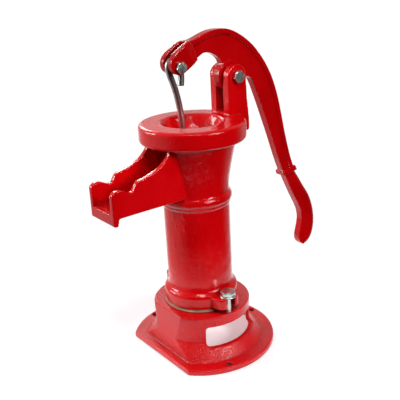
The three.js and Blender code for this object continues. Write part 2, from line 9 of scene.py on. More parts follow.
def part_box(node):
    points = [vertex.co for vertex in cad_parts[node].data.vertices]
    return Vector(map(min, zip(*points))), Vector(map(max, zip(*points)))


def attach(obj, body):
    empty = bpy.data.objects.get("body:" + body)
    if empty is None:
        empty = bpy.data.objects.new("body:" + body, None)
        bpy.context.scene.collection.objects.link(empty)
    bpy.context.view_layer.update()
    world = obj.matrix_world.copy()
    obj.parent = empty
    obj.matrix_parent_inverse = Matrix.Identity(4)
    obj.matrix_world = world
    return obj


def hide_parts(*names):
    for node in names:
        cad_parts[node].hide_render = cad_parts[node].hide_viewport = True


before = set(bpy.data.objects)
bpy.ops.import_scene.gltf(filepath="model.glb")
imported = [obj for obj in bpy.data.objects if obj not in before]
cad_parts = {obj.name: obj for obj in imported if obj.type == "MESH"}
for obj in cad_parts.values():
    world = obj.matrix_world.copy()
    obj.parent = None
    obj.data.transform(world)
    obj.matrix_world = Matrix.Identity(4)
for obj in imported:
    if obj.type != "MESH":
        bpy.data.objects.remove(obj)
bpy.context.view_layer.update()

_lo, _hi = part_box("base_leather")
AXIS = Vector(((_lo.x + _hi.x) / 2, (_lo.y + _hi.y) / 2, 0.0))      # cylinder axis in the row frame

# --------------------------------------------------------------------------
# camera: at the photograph's viewing angle
# --------------------------------------------------------------------------
cam_data = bpy.data.cameras.new("camera")
cam_data.sensor_width = 36.0
cam_data.lens = 59.374
cam_data.clip_start, cam_data.clip_end = 0.05, 60.0
cam = bpy.data.objects.new("camera", cam_data)
bpy.context.scene.collection.objects.link(cam)
R = Vector((0.7929328, -0.6071163, -0.0516467))
U = Vector((0.2453435, 0.2405446, 0.9391192))
F = Vector((0.5577312, 0.7573296, -0.3396878))
m = Matrix((R, U, -F)).transposed().to_4x4()
m.translation = Vector((-0.4703056, -0.646719, 0.4892314)) + AXIS
cam.matrix_world = m
bpy.context.scene.camera = cam

# --------------------------------------------------------------------------
# shape tools: everything is made in millimetres from the cylinder's axis at
# floor level, and moved into the row frame by place()
# --------------------------------------------------------------------------
def mesh_object(name, verts, faces):
    me = bpy.data.meshes.new(name)
    me.from_pydata([tuple(v) for v in verts], [], [tuple(f) for f in faces])
    me.update()
    ob = bpy.data.objects.new(name, me)
    bpy.context.scene.collection.objects.link(ob)
    bm = bmesh.new()
    bm.from_mesh(me)
    bmesh.ops.remove_doubles(bm, verts=bm.verts, dist=1e-4)
    bmesh.ops.recalc_face_normals(bm, faces=bm.faces)
    if bm.calc_volume(signed=True) < 0:
        bmesh.ops.reverse_faces(bm, faces=bm.faces)
    bm.to_mesh(me)
    bm.free()
    return ob


def bake(ob):
    dg = bpy.context.evaluated_depsgraph_get()
    me = bpy.data.meshes.new_from_object(ob.evaluated_get(dg))
    ob.modifiers.clear()
    old = ob.data
    ob.data = me
    bpy.data.meshes.remove(old)
    return ob


def boolean(a, b, op):
    mod = a.modifiers.new("b", "BOOLEAN")
    mod.operation = op
    mod.object = b
    try:
        mod.solver = "MANIFOLD"
    except TypeError:
        mod.solver = "EXACT"
    bpy.context.view_layer.update()
    bake(a)
    bpy.data.objects.remove(b)
    return a


def join(*obs):
    a = obs[0]
    for b in obs[1:]:
        boolean(a, b, "UNION")
    return a


def cut(a, *obs):
    for b in obs:
        boolean(a, b, "DIFFERENCE")
    return a


def keep(a, b):
    return boolean(a, b, "INTERSECT")


def turned(profile, seg=160, name="t"):
    closed = not (abs(profile[0][0]) < 1e-9 and abs(profile[-1][0]) < 1e-9)
    verts, faces = [], []
    ang = [2 * math.pi * i / seg for i in range(seg)]
    index = []
    for r, z in profile:
        if abs(r) < 1e-9:
            index.append([len(verts)] * seg)
            verts.append((0, 0, z))
        else:
            index.append(list(range(len(verts), len(verts) + seg)))
            verts += [(r * math.cos(a), r * math.sin(a), z) for a in ang]
    n = len(profile)
    for k in range(n if closed else n - 1):
        p, q = index[k], index[(k + 1) % n]
        for i in range(seg):
            j = (i + 1) % seg
            f = []
            for v in (p[i], p[j], q[j], q[i]):
                if v not in f:
                    f.append(v)
            if len(f) > 2:
                faces.append(f)
    return mesh_object(name, verts, faces)


def prism(outline, a, b, axis="y", name="p"):
    n = len(outline)
    if axis == "y":
        lo = [(x, a, z) for x, z in outline]
        hi = [(x, b, z) for x, z in outline]
    else:
        lo = [(x, y, a) for x, y in outline]
        hi = [(x, y, b) for x, y in outline]
    faces = [list(range(n))[::-1], [n + i for i in range(n)]]
    faces += [[i, (i + 1) % n, n + (i + 1) % n, n + i] for i in range(n)]
    return mesh_object(name, lo + hi, faces)


def box(x0, x1, y0, y1, z0, z1):
    return prism([(x0, y0), (x1, y0), (x1, y1), (x0, y1)], z0, z1, "z")


def cyl(r, p, a, b, axis="z", seg=64):
    """Round bar from a to b along axis; p is its centre on the other two axes."""
    verts = []
    for t in (a, b):
        for i in range(seg):
            u, v = p[0] + r * math.cos(2 * math.pi * i / seg), p[1] + r * math.sin(2 * math.pi * i / seg)
            verts.append({"z": (u, v, t), "y": (u, t, v), "x": (t, u, v)}[axis])
    faces = [list(range(seg))[::-1], [seg + i for i in range(seg)]]
    faces += [[i, (i + 1) % seg, seg + (i + 1) % seg, seg + i] for i in range(seg)]
    return mesh_object("c", verts, faces)


def spline(pts, per=6, closed=False):
    """Centripetal Catmull-Rom through 2D points."""
    p = [np.array(q, float) for q in pts]
    n = len(p)
    out = []
    for i in range(n if closed else n - 1):
        if closed:
            a, b, c, d = p[(i - 1) % n], p[i], p[(i + 1) % n], p[(i + 2) % n]
        else:
            b, c = p[i], p[i + 1]
            a = p[i - 1] if i else b - (c - b)
            d = p[i + 2] if i + 2 < n else c + (c - b)
        t0 = 0.0
        t1 = t0 + max(np.linalg.norm(b - a), 1e-6) ** 0.5
        t2 = t1 + max(np.linalg.norm(c - b), 1e-6) ** 0.5
        t3 = t2 + max(np.linalg.norm(d - c), 1e-6) ** 0.5
        for k in range(per):
            t = t1 + (t2 - t1) * k / per
            a1 = (t1 - t) / (t1 - t0) * a + (t - t0) / (t1 - t0) * b
            a2 = (t2 - t) / (t2 - t1) * b + (t - t1) / (t2 - t1) * c
            a3 = (t3 - t) / (t3 - t2) * c + (t - t2) / (t3 - t2) * d
            b1 = (t2 - t) / (t2 - t0) * a1 + (t - t0) / (t2 - t0) * a2
            b2 = (t3 - t) / (t3 - t1) * a2 + (t - t1) / (t3 - t1) * a3
            out.append((t2 - t) / (t2 - t1) * b1 + (t - t1) / (t2 - t1) * b2)
    if not closed:
        out.append(p[-1])
    return [tuple(q) for q in out]


_TABLE = np.random.default_rng(11).uniform(-1, 1, (64, 64, 64))


def noise(p, wave, seed=0.0):
    q = p / wave + seed * 17.31
    i = np.floor(q).astype(int)
    f = q - i
    f = f * f * (3 - 2 * f)
    out = np.zeros(len(p))
    for dx in (0, 1):
        for dy in (0, 1):
            for dz in (0, 1):
                w = (f[:, 0] if dx else 1 - f[:, 0]) * (f[:, 1] if dy else 1 - f[:, 1]) * (f[:, 2] if dz else 1 - f[:, 2])
                out += w * _TABLE[(i[:, 0] + dx) % 64, (i[:, 1] + dy) % 64, (i[:, 2] + dz) % 64]
    return out


def coords(me):
    co = np.zeros(len(me.vertices) * 3)
    me.vertices.foreach_get("co", co)
    return co.reshape(-1, 3)


def normals(me):
    no = np.zeros(len(me.vertices) * 3)
    me.vertices.foreach_get("normal", no)
    return no.reshape(-1, 3)


def cast(ob, voxel, rounds, lump=0.13, seed=1.0, extra=None):
    """Turns a sharp solid into a casting: soft corners and fillets everywhere, and a gently uneven skin."""
    mod = ob.modifiers.new("r", "REMESH")
    mod.mode = "VOXEL"
    mod.voxel_size = voxel
    mod.adaptivity = 0.0
    mod.use_smooth_shade = True
    s = ob.modifiers.new("s", "SMOOTH")
    s.factor = 0.5
    s.iterations = rounds
    bpy.context.view_layer.update()
    bake(ob)
    me = ob.data
    co, no = coords(me), normals(me)
    d = lump * noise(co, 22.0, seed) + 0.28 * lump * noise(co, 8.0, seed + 2) + 0.22 * lump * noise(co, 2.8, seed + 5)
    if extra is not None:
        d = d + extra(co, no)
    co = co + no * d[:, None]
    me.vertices.foreach_set("co", co.ravel())
    me.update()
    me.polygons.foreach_set("use_smooth", np.ones(len(me.polygons), bool))
    return ob


def crisp(ob, width=0.35, segments=3, angle=32):
    """Small machined part: fine bevels on its corners, smooth round faces."""
    b = ob.modifiers.new("b", "BEVEL")
    b.width = width
    b.segments = segments
    b.limit_method = "ANGLE"
    b.angle_limit = math.radians(angle)
    b.use_clamp_overlap = True
    b.miter_outer = "MITER_ARC"
    bpy.context.view_layer.update()
    bake(ob)
    ob.data.polygons.foreach_set("use_smooth", np.ones(len(ob.data.polygons), bool))
    ob.data.set_sharp_from_angle(angle=math.radians(24))
    return ob


def place(ob, name, node, body, material):
    """From millimetres at the axis to metres in the row frame, then onto its body in place of the CAD node."""
    ob.name = name
    ob.data.name = name
    ob.data.transform(Matrix.Translation(AXIS) @ Matrix.Scale(0.001, 4))
    ob.data.materials.clear()
    ob.data.materials.append(material)
    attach(ob, body)
    if node:
        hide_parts(*([node] if isinstance(node, str) else node))
    return ob


# --------------------------------------------------------------------------
# materials
# --------------------------------------------------------------------------
class Nodes:
    def __init__(self, name):
        self.mat = bpy.data.materials.new(name)
        self.mat.use_nodes = True
        self.t = self.mat.node_tree
        self.t.nodes.clear()
        self.out = self.t.nodes.new("ShaderNodeOutputMaterial")
        self.bsdf = self.t.nodes.new("ShaderNodeBsdfPrincipled")
        self.t.links.new(self.bsdf.outputs[0], self.out.inputs[0])
        self.co = self.t.nodes.new("ShaderNodeTexCoord").outputs["Object"]

    def node(self, kind, **sets):
        n = self.t.nodes.new(kind)
        for k, v in sets.items():
            setattr(n, k, v)
        return n

    def link(self, a, b):
        self.t.links.new(a, b)

    def noise(self, scale, detail=2.0, rough=0.5, stretch=None, seed=0.0):
        n = self.node("ShaderNodeTexNoise")
        n.inputs["Scale"].default_value = scale
        n.inputs["Detail"].default_value = detail
        n.inputs["Roughness"].default_value = rough
        mp = self.node("ShaderNodeMapping")
        mp.inputs["Location"].default_value = (seed, seed * 0.7, seed * 0.3)
        if stretch:
            mp.inputs["Scale"].default_value = stretch
        self.link(self.co, mp.inputs["Vector"])
        self.link(mp.outputs[0], n.inputs["Vector"])
        return n.outputs["Fac"]

    def ramp(self, fac, stops):
        r = self.node("ShaderNodeValToRGB")
        el = r.color_ramp.elements
        while len(el) < len(stops):
            el.new(0.5)
        for e, (p, c) in zip(el, stops):
            e.position = p
            e.color = (*c, 1.0) if len(c) == 3 else c
        self.link(fac, r.inputs["Fac"])
        return r.outputs["Color"]

    def remap(self, fac, a, b, lo, hi):
        r = self.node("ShaderNodeMapRange")
        r.inputs["From Min"].default_value = a
        r.inputs["From Max"].default_value = b
        r.inputs["To Min"].default_value = lo
        r.inputs["To Max"].default_value = hi
        self.link(fac, r.inputs["Value"])
        return r.outputs["Result"]

    def mix(self, fac, a, b, blend="MIX"):
        n = self.node("ShaderNodeMix", data_type="RGBA", blend_type=blend)
        for s, v in ((n.inputs[0], fac), (n.inputs[6], a), (n.inputs[7], b)):
            if hasattr(v, "is_output"):
                self.link(v, s)
            elif isinstance(v, (int, float)):
                s.default_value = v
            else:
                s.default_value = (*v, 1.0)
        return n.outputs[2]

    def bump(self, height, strength, distance, before=None):
        b = self.node("ShaderNodeBump")
        b.inputs["Strength"].default_value = strength
        b.inputs["Distance"].default_value = distance
        self.link(height, b.inputs["Height"])
        if before is not None:
            self.link(before, b.inputs["Normal"])
        return b.outputs["Normal"]

    def pointy(self):
        return self.node("ShaderNodeNewGeometry").outputs["Pointiness"]

    def set(self, **kw):
        for k, v in kw.items():
            s = self.bsdf.inputs[k.replace("_", " ")]
            if hasattr(v, "is_output"):
                self.link(v, s)
            else:
                s.default_value = v if not isinstance(v, tuple) or len(v) != 3 else (*v, 1.0)
        return self.mat


def enamel(name, light, mid, dark, grain=0.22, rough=(0.09, 0.17), seed=0.0, pebble=340):
    n = Nodes(name)
    big = n.noise(14, 3, 0.55, seed=seed)
    col = n.ramp(big, [(0.30, dark), (0.52, mid), (0.74, light)])
    speck = n.noise(260, 2, 0.6, seed=seed + 3)
    col = n.mix(n.remap(speck, 0.62, 0.74, 0.0, 0.22), col, tuple(0.55 * c for c in mid))
    # painted shade: the colour darkens in the hollows; painted highlight: it turns lighter and pinker on the edges
    p = n.pointy()
    col = n.mix(n.remap(p, 0.500, 0.455, 0.0, 0.55), col, tuple(0.38 * c for c in dark))
    col = n.mix(n.remap(p, 0.535, 0.60, 0.0, 0.30), col, (min(1, light[0] * 1.25), light[1] + 0.02, light[2] + 0.02))
    # painted shade: the red darkens where ambient occlusion finds close surfaces, in crevices, slots and under rims
    ao = n.node("ShaderNodeAmbientOcclusion", samples=8)
    ao.inputs["Distance"].default_value = 0.018
    col = n.mix(n.remap(ao.outputs["AO"], 0.62, 0.18, 0.0, 0.85), col, tuple(0.12 * c for c in mid))
    r = n.remap(n.noise(75, 3, 0.6, seed=seed + 5), 0.3, 0.7, rough[0], rough[1])
    fine = n.noise(720, 2.0, 0.6, seed=seed + 7)
    peel = n.noise(pebble, 1.5, 0.5, seed=seed + 9)
    lumps = n.noise(70, 2.0, 0.5, seed=seed + 11)
    nb = n.bump(lumps, 0.30, 0.0016)
    nb = n.bump(peel, grain, 0.0016, nb)
    nb = n.bump(fine, 0.6 * grain, 0.0007, nb)
    return n.set(Base_Color=col, Roughness=r, Normal=nb, IOR=1.42, Coat_Weight=0.10, Coat_Roughness=0.04, Coat_IOR=1.5)


def zinc(name, seed=0.0):
    n = Nodes(name)
    col = n.ramp(n.noise(160, 3, 0.6, seed=seed), [(0.30, (0.55, 0.56, 0.52)), (0.55, (0.74, 0.76, 0.72)), (0.75, (0.88, 0.89, 0.85))])
    # painted shade: the zinc darkens in the hollows and thread roots
    col = n.mix(n.remap(n.pointy(), 0.50, 0.44, 0.0, 0.6), col, (0.12, 0.11, 0.09))
    r = n.remap(n.noise(420, 3, 0.65, seed=seed + 2), 0.3, 0.7, 0.24, 0.44)
    nb = n.bump(n.noise(900, 2, 0.6, seed=seed + 4), 0.12, 0.0003)
    nb = n.bump(n.noise(180, 2, 0.5, seed=seed + 6), 0.12, 0.0006, nb)
    return n.set(Base_Color=col, Metallic=1.0, Roughness=r, Normal=nb)


def rod_steel(name):
    n = Nodes(name)
    streak = n.noise(1.0, 4, 0.65, stretch=(900, 900, 45))
    col = n.ramp(streak, [(0.28, (0.22, 0.22, 0.215)), (0.50, (0.50, 0.50, 0.49)), (0.70, (0.80, 0.80, 0.78))])
    col = n.mix(n.remap(n.noise(60, 3, 0.6, seed=4), 0.50, 0.68, 0.0, 0.28), col, (0.22, 0.20, 0.18))
    r = n.remap(streak, 0.3, 0.7, 0.42, 0.26)
    nb = n.bump(streak, 0.20, 0.0004)
    nb = n.bump(n.noise(520, 2, 0.6, seed=8), 0.15, 0.0003, nb)
    return n.set(Base_Color=col, Metallic=1.0, Roughness=r, Normal=nb)


def cast_iron(name):
    n = Nodes(name)
    col = n.ramp(n.noise(70, 4, 0.6), [(0.30, (0.045, 0.042, 0.040)), (0.52, (0.10, 0.095, 0.09)), (0.72, (0.17, 0.155, 0.14))])
    col = n.mix(n.remap(n.noise(35, 4, 0.7, seed=5), 0.58, 0.70, 0.0, 0.6), col, (0.16, 0.075, 0.035))
    r = n.remap(n.noise(220, 3, 0.6, seed=2), 0.3, 0.7, 0.48, 0.72)
    nb = n.bump(n.noise(420, 3, 0.6, seed=3), 0.45, 0.0006)
    return n.set(Base_Color=col, Metallic=0.55, Roughness=r, Normal=nb)


def hide(name):
    n = Nodes(name)
    col = n.ramp(n.noise(90, 4, 0.6), [(0.28, (0.34, 0.16, 0.09)), (0.52, (0.52, 0.27, 0.16)), (0.74, (0.66, 0.38, 0.24))])
    layers = n.noise(1.0, 3, 0.6, stretch=(40, 40, 2200), seed=2)
    col = n.mix(n.remap(layers, 0.45, 0.65, 0.0, 0.45), col, (0.30, 0.145, 0.08))
    v = n.node("ShaderNodeTexVoronoi", feature="DISTANCE_TO_EDGE")
    v.inputs["Scale"].default_value = 900
    n.link(n.co, v.inputs["Vector"])
    nb = n.bump(n.remap(v.outputs["Distance"], 0.0, 0.12, 0.0, 1.0), 0.35, 0.0003)
    nb = n.bump(layers, 0.30, 0.0004, nb)
    r = n.remap(n.noise(300, 3, 0.6, seed=6), 0.3, 0.7, 0.50, 0.75)
    return n.set(Base_Color=col, Roughness=r, Normal=nb)


RED = enamel("red_enamel", (0.76, 0.0030, 0.006), (0.68, 0.0010, 0.0030), (0.57, 0.0006, 0.0020), grain=0.24, pebble=510)
RED_BASE = enamel("red_enamel_foot", (0.72, 0.0040, 0.008), (0.64, 0.0018, 0.0045), (0.53, 0.0010, 0.003), grain=0.62, rough=(0.11, 0.19), seed=20.0, pebble=480)
RED_LEVER = enamel("red_enamel_lever", (0.60, 0.0022, 0.004), (0.52, 0.0010, 0.0025), (0.42, 0.0005, 0.0015), grain=0.13, seed=40.0)
ZINC = zinc("zinc_steel")
ROD = rod_steel("rod_steel")
IRON = cast_iron("cast_iron")
HIDE = hide("leather")

# --------------------------------------------------------------------------
# 1. foot casting
# --------------------------------------------------------------------------
PLATE_Z, PLATE_T, FLANGE_T = 63.3, 8.3, 7.5


def half_space(top_x, foot_x):
    k = (top_x - foot_x) / (PLATE_Z - FLANGE_T)
    at = lambda z: foot_x + k * (z - FLANGE_T)
    return prism([(at(-20), -20), (200, -20), (200, 120), (at(120), 120)], -150, 150, "y")


def window(side):
    a0, a1, rr, r = math.radians(40), math.radians(123.5), 64.0, 4.5
    length, h, out = (a1 - a0) * rr, 27.5, []

    def corner(cx, cy, s):
        for i in range(7):
            t = s + i * math.pi / 12
            out.append((cx + r * math.cos(t), cy + r * math.sin(t)))

    def straight(xa, xb, y):
        out.extend((xa + (xb - xa) * i / 30, y) for i in range(1, 30))

    corner(length - r, h - r, 0); straight(length - r, r, h); corner(r, h - r, math.pi / 2)
    corner(r, r, math.pi); straight(r, length - r, 0); corner(length - r, r, 1.5 * math.pi)
    n = len(out)
    verts = []
    for rad in (52, 96):
        for x, y in out:
            a = a0 + x / rr
            verts.append((rad * math.cos(a), side * rad * math.sin(a), 21.5 + y))
    # caps as quads between the lower and the upper edge keep the curved faces well shaped
    faces = [[i, (i + 1) % n, n + (i + 1) % n, n + i] for i in range(n)]
    half = n // 2
    for off, flip in ((0, False), (n, True)):
        for i in range(half - 1):
            a, b, c, d = i, i + 1, n - 2 - i, n - 1 - i
            f = [off + a, off + b, off + c, off + d]
            f = [v for k, v in enumerate(f) if v not in f[:k]]
            if len(f) > 2:
                faces.append(f[::-1] if flip else f)
    return mesh_object("w", verts, faces)


base = join(
    keep(turned([(0, 0), (95.4, 0), (96, 0.8), (96, 6.2), (94.8, 7.5), (0, 7.5)], 256), box(-73, 200, -150, 150, -5, 20)),
    keep(turned([(0, 2), (81.7, 5), (80.1, 7.5), (77.9, 9.7), (64.2, 26.8), (63.2, 28.8), (64.4, 62.3), (63.4, 63.3), (0, 63.3)], 256), half_space(-57, -62.5)))
base = cut(base, keep(turned([(0, -3), (79.8, -3), (75.2, 4.1), (58.7, 24.6), (58.5, 27), (58.5, 53), (56.5, 55), (0, 55)], 200), half_space(-51.5, -57)))
base = join(base,
            turned([(0, 36), (26, 36), (27, 37), (27, 52), (30, 55.5), (0, 55.5)], 96),
            keep(cyl(9.6, (0, 54.5), 50, 61.3), turned([(0, 40), (61, 40), (61, 62), (0, 62)], 128)),
            keep(cyl(9.6, (0, -54.5), 50, 61.3), turned([(0, 40), (61, 40), (61, 62), (0, 62)], 128)))
base = cut(base, window(1), window(-1))
for d in (0, 106, -106):
    a = math.radians(d)
    base = cut(base, cyl(4.2, (87.7 * math.cos(a), 87.7 * math.sin(a)), -3, 20))
ridges = []
for i in range(5):
    z = 36.6 + i * 2.6
    ridges += [(20.4, z), (19.5, z + 1.3)]
base = cut(base, turned([(0, 20), (21.1, 20), (21.1, 36)] + ridges + [(19.5, 51.5), (16, 54.5), (0, 54.5)], 96),
           cyl(16, (0, 0), 40, 80), cyl(4.15, (0, 57), 40, 80), cyl(4.15, (0, -57), 40, 80))


def foot_skin(co, no):
    """The cone and the flange's edge come rough from the sand."""
    z = co[:, 2]
    rough = np.clip((30 - z) / 8, 0, 1) * np.clip((z - 6.5) / 3, 0, 1)
    return rough * 0.07 * noise(co, 2.4, 31)


cast(base, 0.95, 2, 0.10, 3.0, foot_skin)
place(base, "foot_casting", "base", "body", RED_BASE)

# --------------------------------------------------------------------------
# 2. pump body: cylinder, neck and spout in one casting
# --------------------------------------------------------------------------
neck = spline([(42.6, 219), (43.0, 226), (43.9, 233), (45.0, 239.5), (46.3, 246), (47.7, 252.6), (49.1, 259), (50.6, 265.5), (52.0, 271.2), (53.6, 277), (55.3, 281.6)], 3)
body = turned([(38.1, 67.3), (48.7, 67.3), (48.7, 82.5), (47.9, 84.8), (46.2, 86.4), (44.4, 88.0), (43.1, 90.6), (42.6, 94.5),
               (42.6, 199.0), (43.6, 200.0), (44.2, 201.2), (44.2, 203.2), (44.6, 204.4), (45.6, 205.6), (46.3, 208.2), (46.0, 211.0), (44.8, 213.8), (43.1, 216.0)]
              + neck + [(57.6, 284.4), (60.3, 285.3), (60.3, 294.6), (59.3, 295.6), (50.8, 295.6), (49.8, 294.6),
                        (49.8, 285), (48.4, 276), (45.6, 262), (42.8, 249), (40.0, 237), (38.4, 228), (38.1, 222)], 256)
wall_top = spline([(-136.6, 245.0), (-135.4, 247.6), (-132.7, 249.5), (-129.2, 250.8), (-125.8, 250.9), (-122.2, 250.0), (-118.6, 248.4), (-115.0, 246.6),
                   (-111.4, 245.3), (-108.4, 245.5), (-106.4, 247.0), (-104.9, 249.6), (-103.2, 252.6), (-101.0, 254.8), (-97.6, 256.2), (-92.0, 257.4), (-85.8, 259.0),
                   (-79.0, 261.0), (-72.5, 263.4), (-67.6, 265.8), (-63.0, 268.8), (-59.0, 272.2), (-55.6, 276.4), (-53.4, 281.0)], 4)
wall = [(-34, 217.7), (-136.6, 217.7)] + wall_top + [(-30, 281)]
spout = join(prism(wall, 20, 27), prism(wall, -27, -20), box(-136.6, -34, -26.5, 26.5, 217.7, 222.9),
             prism([(-136.6, 210), (-135.8, 209), (-131.6, 209), (-130.6, 210.5), (-128.6, 218.2), (-136.6, 218.2)], -27, 27))
spout = cut(spout, turned([(0, 150), (38.1, 150), (38.1, 222), (38.4, 228), (40.0, 237), (42.8, 249), (45.6, 262), (48.4, 276), (49.8, 285), (0, 285)], 128))


def lug(s):
    q = [(18.8, 30), (18.6, 46), (18, 52), (16.4, 57.5), (13.6, 61.4), (9.8, 63.4), (0, 63.8)]
    q = [(x, s * y) for x, y in q] + [(-x, s * y) for x, y in q[:-1][::-1]]
    a = prism(q, 69.6, 84, "z")
    return cut(a, turned([(0, 50), (38.1, 50), (38.1, 160), (0, 160)], 96))


body = join(body, spout, lug(1), lug(-1))
for s in (1, -1):
    body = cut(body, cyl(7, (0, s * 57), 50, 100), box(-7, 7, min(s * 57, s * 80), max(s * 57, s * 80), 50, 100), cyl(11.3, (0, s * 57), 84, 96))
body = cut(body, prism([(-140, 222.9), (-25, 222.9), (-25, 279.5), (-140, 279.5)], -20, 20))


def body_skin(co, no):
    """Runs in the paint, and the rough skin inside the spout."""
    x, y, z = co[:, 0], co[:, 1], co[:, 2]
    d = np.zeros(len(co))
    a = np.degrees(np.arctan2(y, x))
    r = np.hypot(x, y)
    tube = (np.abs(r - 42.6) < 2.0)
    for az, z0, length, width, height in ((-171, 196, 9, 1.5, 0.55), (-166, 183, 6, 1.3, 0.5), (-158, 171, 5, 1.2, 0.45), (-172, 160, 12, 1.4, 0.4),
                                         (-150, 196.5, 5, 1.6, 0.5), (-96, 199, 5, 1.6, 0.35), (-149, 181, 4, 1.2, 0.5), (20, 190, 12, 1.5, 0.5), (75, 176, 9, 1.4, 0.5), (130, 193, 8, 1.4, 0.45)):
        s = np.radians(a - az) * r
        t = (z0 - z) / length
        run = np.exp(-(s / width) ** 2) * np.where(t < 0, np.exp(-(t * length / 1.2) ** 2), np.where(t < 1, 0.55 + 0.45 * t, np.exp(-((t - 1) * length / 1.1) ** 2)))
        d += tube * height * run
    inside = (x < -42) & (np.abs(y) < 20.6)
    return d + inside * 0.08 * noise(co, 2.4, 8)


cast(body, 1.0, 3, 0.09, 1.0, body_skin)
place(body, "cylinder_and_spout", "pump_body", "body", RED)

# --------------------------------------------------------------------------
# 3. cap ring and yoke
# --------------------------------------------------------------------------
bowl = spline([(26, 283.4), (27.6, 285.8), (30.4, 289.4), (33.0, 293.4), (35.2, 297.6), (36.8, 301.2), (38.0, 303.4), (39.6, 304.8), (42.0, 305.3)], 3)
cap = turned([(26, 281.2)] + bowl + [(63.2, 305.3), (65.4, 304.4), (66.8, 302.8), (67.2, 300.8), (67.2, 286.0), (66.6, 284.0), (65.2, 282.6), (63.4, 282), (61, 282),
                                     (61, 295.9), (47.0, 295.9), (43.0, 293.6), (38.4, 289.4), (34.6, 284.6), (31.6, 281.2)], 256)
ear = [(45.4, 300), (45.4, 353)] + [(60 + 14.6 * math.cos(math.radians(180 - i * 6)), 353 + 14.6 * math.sin(math.radians(180 - i * 6))) for i in range(1, 31)]
ear += spline([(74.6, 353), (75.2, 335), (76.0, 321), (77.4, 308), (78.2, 297), (78.2, 284.5)], 4)[1:] + [(76.8, 282), (66, 282), (63, 284), (63, 300)]
foot_fill = [(43.2, 304.4), (44.4, 306.6), (47.4, 309.6), (47.4, 300), (43.2, 300)]
cap = join(cap, prism(ear, 6.5, 18.4), prism(ear, -18.4, -6.5),
           prism([(62, 283), (64, 282), (76.8, 282), (78.2, 284.5), (78.2, 297), (77.8, 303), (76.4, 308.6), (62, 308.6)], -6.7, 6.7),
           prism([(46.6, 300), (46.6, 306.6), (49, 308.6), (64, 308.6), (64, 300)], -6.7, 6.7))
cap = cut(cap, keep(turned([(48, 270), (61, 270), (61, 295.9), (48, 295.9)], 256), box(-90, 90, -90, 90, 260, 299)),
          cyl(5.3, (60, 353), -30, 30, "y"), cyl(4.3, (0, 290), 55, 90, "x"))
cast(cap, 1.0, 4, 0.11, 5.0, lambda co, no: ((np.hypot(co[:, 0], co[:, 1]) < 39) & (co[:, 2] < 303.5)) * 0.45 * noise(co, 7.5, 12))
place(cap, "cap_and_yoke", "cap", "cap", RED)

# --------------------------------------------------------------------------
# 4. lever
# --------------------------------------------------------------------------
outer = [(-3.5, 402.2), (3.0, 402.6), (9.9, 404.4), (17.6, 407.0), (25.4, 409.4), (33.2, 411.0), (41.0, 411.7), (48.5, 411.7), (56.0, 410.6), (64.0, 408.2), (72.0, 404.5),
         (80.0, 400.0), (88.0, 394.6), (96.3, 387.8), (104.6, 379.5), (112.9, 369.7), (121.0, 358.0), (128.0, 345.8), (133.6, 333.2), (138.0, 320.8), (143.0, 303.6),
         (148.0, 282.6), (151.8, 266.0), (155.8, 249.8), (161.0, 231.4), (166.1, 216.6), (170.2, 207.6), (175.6, 198.6)]
grip = [(182.8, 188.0), (188.6, 178.8), (194.0, 170.8), (199.6, 162.8), (205.6, 151.6), (210.0, 139.6), (212.8, 127.0), (213.6, 114.4), (212.0, 101.4), (207.8, 91.0), (201.0, 84.2), (192.6, 81.7),
        (185.8, 85.0), (181.8, 91.6), (181.0, 98.2), (183.0, 106.4), (185.9, 117.0), (186.8, 126.6), (185.0, 136.4), (180.2, 147.6), (173.6, 159.4), (164.0, 177.8), (156.2, 194.0)]
inner = [(150.8, 203.6), (144.9, 216.8), (136.6, 239.0), (126.9, 265.6), (118.3, 288.4), (110.0, 310.2), (105.0, 322.4), (101.6, 330.4), (98.6, 337.2), (94.8, 343.6), (90.0, 347.4), (84.2, 348.0), (78.6, 345.2)]
boss = [(60 + 19 * math.cos(math.radians(-40 - i * 20.5)), 353 + 19 * math.sin(math.radians(-40 - i * 20.5))) for i in range(10)]
hook = [(47.8, 369.8), (45.4, 374.4), (39.6, 379.6), (33.2, 383.0), (27.6, 385.0), (22.6, 385.6), (17.6, 384.6), (12.6, 382.0)]
nose = [(7.4, 379.2), (-14.9, 366.6), (-18.2, 365.3), (-22.3, 365.0), (-26.6, 366.3), (-30.3, 369.3), (-32.6, 373.4), (-33.3, 378.0), (-32.4, 382.4), (-29.4, 387.0), (-23.2, 392.4), (-15.0, 397.1), (-9.0, 400.4)]
outline = spline(outer + grip + inner, 4) + boss[1:] + spline(hook, 4)[0:] + [nose[0]] + spline(nose[1:] + [outer[0]], 4)[:-1]
smooth_outer = spline(outer, 4)
rim_in = []
for i, (x, z) in enumerate(smooth_outer):
    p, q = smooth_outer[max(i - 2, 0)], smooth_outer[min(i + 2, len(smooth_outer) - 1)]
    dx, dz = q[0] - p[0], q[1] - p[1]
    l = math.hypot(dx, dz)
    rim_in.append((x + 6.4 * dz / l, z - 6.4 * dx / l))
end = len(smooth_outer) - 6
band = smooth_outer[:end] + rim_in[:end][::-1]
block = [outer[0], (1.6, 396.4), (5.2, 388.0)] + [nose[0]] + spline(nose[1:] + [outer[0]], 4)[:-1]
collar = [(149.4, 199.2), (147.4, 205.8), (171.4, 210.8), (174.6, 203.8)]
ca, sa = math.cos(math.radians(29.5)), math.sin(math.radians(29.5))
along = lambda s, t: (-21.5 + s * ca - t * sa, 374 + s * sa + t * ca)
slot_line = [along(-30, -30), along(21, -30), along(24.6, -12), along(26.8, 3), along(26.4, 22), along(20, 40), along(-30, 40)]
# the cheeks of the fork thin out into the web behind the slot
taper = mesh_object("k", [(-21.5 + u * ca - t * sa, y, 374 + u * sa + t * ca) for t in (-60, 60) for u, y in ((-40, -12.45), (19, -12.45), (33, -7.9), (33, 7.9), (19, 12.45), (-40, 12.45))],
                    [[0, 1, 2, 3, 4, 5], [6, 7, 8, 9, 10, 11]] + [[i, (i + 1) % 6, 6 + (i + 1) % 6, 6 + i] for i in range(6)])
cheeks = keep(prism(block, -14, 14), taper)
